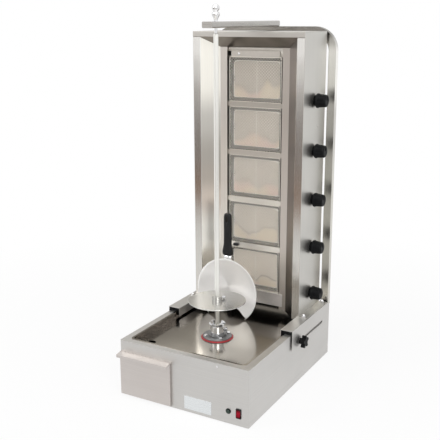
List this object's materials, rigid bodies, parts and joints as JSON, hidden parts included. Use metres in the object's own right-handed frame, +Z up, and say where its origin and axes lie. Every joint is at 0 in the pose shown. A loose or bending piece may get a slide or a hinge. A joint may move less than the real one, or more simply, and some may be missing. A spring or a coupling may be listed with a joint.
{
  "type": "doner kebab grill",
  "caption": "Gas doner kebab grill: a tall burner tower slides on a drip-tray base towards a motor-turned skewer with a meat disc, held by a top arm; fat drawer and meat scoop.",
  "frame": {"origin": "on the floor, under the middle of the whole machine", "axes": "+X to the right as the user stands in front, +Y to the back, +Z up"},
  "size_m": [0.5258, 0.6636, 1.2418],
  "materials": {
    "brushed_steel": "brushed, satin",
    "pan_steel": "plain mill finish",
    "polished_steel": "polished",
    "guard_wire": "woven wire, dulled",
    "badge_metal": "satin, bare",
    "black_plastic": "moulded, satin",
    "handle_plastic": "moulded, slightly worn",
    "green_plastic": "gloss",
    "red_plastic": "translucent, gloss",
    "red_silicone": "soft, matt",
    "black_rubber": "matt",
    "burner_ceramic": "porous, matt",
    "white_ceramic": "glazed",
    "brass": "machined",
    "bronze": "sintered",
    "cast_grey": "cast, matt",
    "motor_paint": "satin"
  },
  "bodies": {
    "base": {"base_casing": "brushed_steel", "base_bottom": "brushed_steel", "rear_cover": "brushed_steel", "rubber_feet": "black_rubber", "drip_pan": "pan_steel", "drawer_rails": "brushed_steel", "badge_plate": "badge_metal", "button_bezel": "black_plastic", "rocker_bezel": "black_plastic", "spit_gearbox": "cast_grey", "spit_motor": "motor_paint", "drive_flange": "pan_steel", "shaft_bearing": "bronze", "hub_gasket": "red_silicone", "flange_bolts": "polished_steel", "rear_frame": "brushed_steel", "top_arm": "polished_steel"},
    "drawer": {"drawer_box": "pan_steel", "drawer_front": "brushed_steel"},
    "spit": {"output_shaft": "polished_steel", "spit_hub": "pan_steel", "hub_screw": "polished_steel", "skewer": "polished_steel", "meat_disc": "polished_steel", "disc_screw": "polished_steel"},
    "centre_pin": {"top_pin": "polished_steel"},
    "burner_tower": {"side_panel_left": "brushed_steel", "side_panel_right": "brushed_steel", "back_panel": "brushed_steel", "canopy": "brushed_steel", "burner_spacers": "brushed_steel", "lower_panel": "brushed_steel", "burner_housings": "pan_steel", "ceramic_plaques": "burner_ceramic", "burner_guards": "guard_wire", "thermocouples": "pan_steel", "igniter": "white_ceramic", "gas_manifold": "pan_steel", "gas_taps": "brass", "knob_bezels": "black_plastic", "foot_channel_left": "brushed_steel", "foot_channel_right": "brushed_steel", "glide_shoes": "black_plastic", "dome_nuts": "polished_steel"},
    "tap_1": {"tap_plug_1": "brass"},
    "knob_1": {"gas_knob_1": "black_plastic"},
    "tap_2": {"tap_plug_2": "brass"},
    "knob_2": {"gas_knob_2": "black_plastic"},
    "tap_3": {"tap_plug_3": "brass"},
    "knob_3": {"gas_knob_3": "black_plastic"},
    "tap_4": {"tap_plug_4": "brass"},
    "knob_4": {"gas_knob_4": "black_plastic"},
    "tap_5": {"tap_plug_5": "brass"},
    "knob_5": {"gas_knob_5": "black_plastic"},
    "clamp_left": {"star_knob_left": "black_plastic"},
    "clamp_right": {"star_knob_right": "black_plastic"},
    "rocker": {"rocker_switch": "red_plastic"},
    "button": {"push_button": "green_plastic"},
    "scoop": {"scoop_tray": "polished_steel", "scoop_handle": "handle_plastic"}
  },
  "joints": [
    {"name": "drawer_slide", "type": "slide", "parent": "base", "child": "drawer", "axis": [0, -1, 0], "range_m": [0, 0.25]},
    {"name": "spit_turn", "type": "hinge", "parent": "base", "child": "spit", "pos_m": [0, -0.08125, 0.21], "axis": [0, 0, 1], "continuous": true},
    {"name": "pin_lift", "type": "slide", "parent": "base", "child": "centre_pin", "axis": [0, 0, 1], "range_m": [0, 0.035]},
    {"name": "tower_slide", "type": "slide", "parent": "base", "child": "burner_tower", "axis": [0, -1, 0], "range_m": [0, 0.07]},
    {"name": "tap_turn_1", "type": "hinge", "parent": "burner_tower", "child": "tap_1", "pos_m": [0.1935, 0.21575, 0.9367], "axis": [1, 0, 0], "range_deg": [0, 240]},
    {"name": "knob_press_1", "type": "slide", "parent": "tap_1", "child": "knob_1", "axis": [-1, 0, 0], "range_m": [0, 0.003], "stiffness_N_per_m": 1500, "springref_m": -0.002},
    {"name": "tap_turn_2", "type": "hinge", "parent": "burner_tower", "child": "tap_2", "pos_m": [0.1935, 0.21575, 0.7697], "axis": [1, 0, 0], "range_deg": [0, 240]},
    {"name": "knob_press_2", "type": "slide", "parent": "tap_2", "child": "knob_2", "axis": [-1, 0, 0], "range_m": [0, 0.003], "stiffness_N_per_m": 1500, "springref_m": -0.002},
    {"name": "tap_turn_3", "type": "hinge", "parent": "burner_tower", "child": "tap_3", "pos_m": [0.1935, 0.21575, 0.6027], "axis": [1, 0, 0], "range_deg": [0, 240]},
    {"name": "knob_press_3", "type": "slide", "parent": "tap_3", "child": "knob_3", "axis": [-1, 0, 0], "range_m": [0, 0.003], "stiffness_N_per_m": 1500, "springref_m": -0.002},
    {"name": "tap_turn_4", "type": "hinge", "parent": "burner_tower", "child": "tap_4", "pos_m": [0.1935, 0.21575, 0.4357], "axis": [1, 0, 0], "range_deg": [0, 240]},
    {"name": "knob_press_4", "type": "slide", "parent": "tap_4", "child": "knob_4", "axis": [-1, 0, 0], "range_m": [0, 0.003], "stiffness_N_per_m": 1500, "springref_m": -0.002},
    {"name": "tap_turn_5", "type": "hinge", "parent": "burner_tower", "child": "tap_5", "pos_m": [0.1935, 0.21575, 0.2687], "axis": [1, 0, 0], "range_deg": [0, 240]},
    {"name": "knob_press_5", "type": "slide", "parent": "tap_5", "child": "knob_5", "axis": [-1, 0, 0], "range_m": [0, 0.003], "stiffness_N_per_m": 1500, "springref_m": -0.002},
    {"name": "clamp_turn_left", "type": "hinge", "parent": "base", "child": "clamp_left", "pos_m": [-0.239, 0.05775, 0.153], "axis": [-1, 0, 0], "range_deg": [0, 360]},
    {"name": "clamp_turn_right", "type": "hinge", "parent": "base", "child": "clamp_right", "pos_m": [0.239, 0.05775, 0.153], "axis": [1, 0, 0], "range_deg": [0, 360]},
    {"name": "rocker_tilt", "type": "hinge", "parent": "base", "child": "rocker", "pos_m": [0.201, -0.30265, 0.045], "axis": [1, 0, 0], "range_deg": [0, 16]},
    {"name": "button_press", "type": "slide", "parent": "base", "child": "button", "axis": [0, 1, 0], "range_m": [0, 0.003], "stiffness_N_per_m": 800, "springref_m": -0.002},
    {"name": "scoop_lift", "type": "slide", "parent": "burner_tower", "child": "scoop", "axis": [-0.7071, 0, 0.7071], "range_m": [0, 0.45]}
  ]
}
